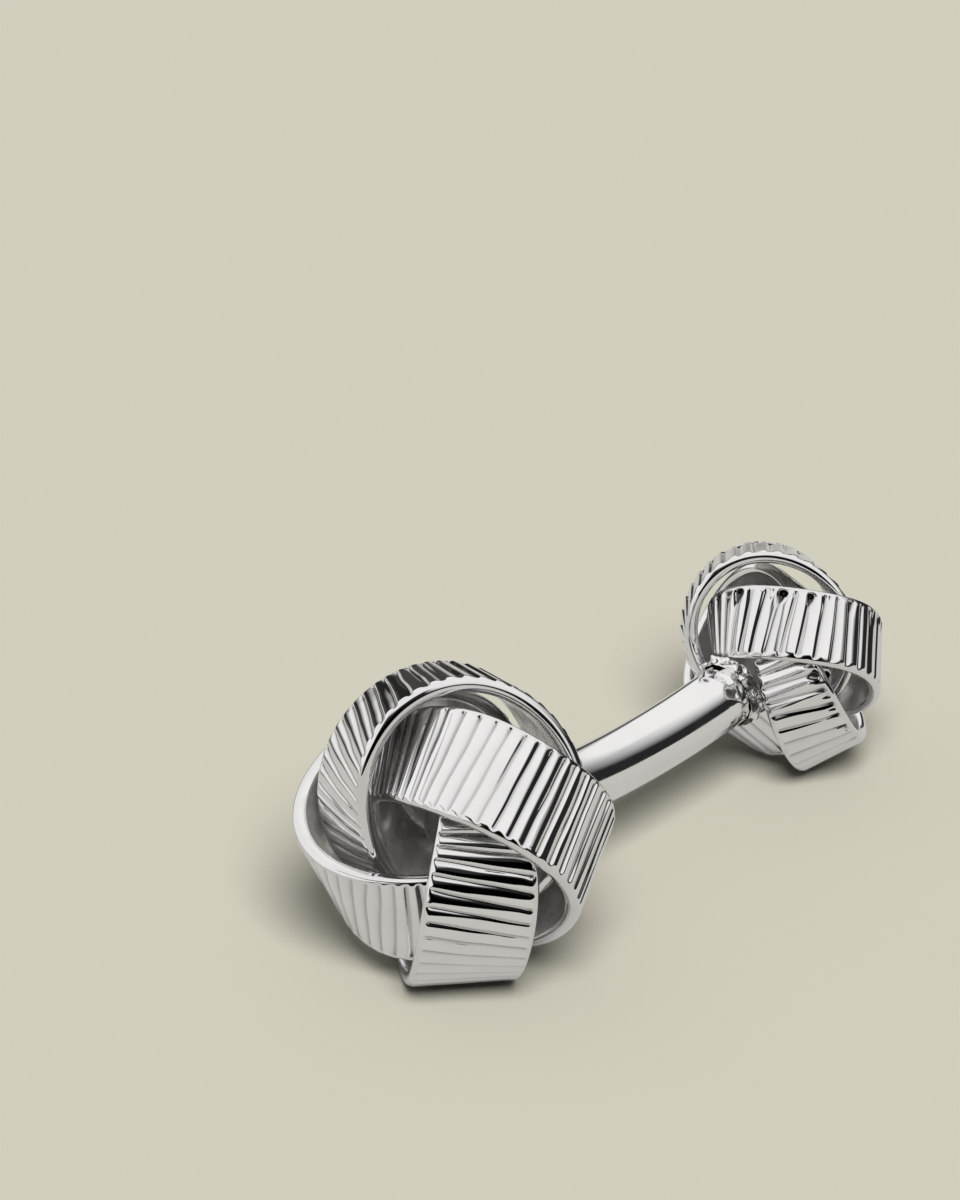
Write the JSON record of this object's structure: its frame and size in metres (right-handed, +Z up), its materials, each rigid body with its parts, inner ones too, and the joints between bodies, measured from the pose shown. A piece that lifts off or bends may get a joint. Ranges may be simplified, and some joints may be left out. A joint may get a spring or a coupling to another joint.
{
  "type": "cufflink",
  "caption": "Double-ended knot cufflink: ribbed hoops woven into a large and a small ball, joined by a short curved bar that passes through a shirt cuff.",
  "frame": {"origin": "centre of the bounding box in X and Y, at the surface that it lies on", "axes": "+X runs along the cufflink from the large knot to the small one, +Z is up from the surface in its resting pose"},
  "size_m": [0.0314, 0.0138, 0.0136],
  "materials": {
    "polished_band": "polished, with finely ribbed outer faces",
    "polished_bar": "polished",
    "solder": "rough cast fillet, polished over"
  },
  "bodies": {
    "root": {"large_hoop_1": "polished_band", "large_hoop_2": "polished_band", "large_hoop_3": "polished_band", "large_hoop_4": "polished_band", "small_hoop_1": "polished_band", "small_hoop_2": "polished_band", "small_hoop_3": "polished_band", "small_hoop_4": "polished_band", "bar": "polished_bar", "large_knot_solder": "solder", "small_knot_solder": "solder"}
  },
  "joints": []
}
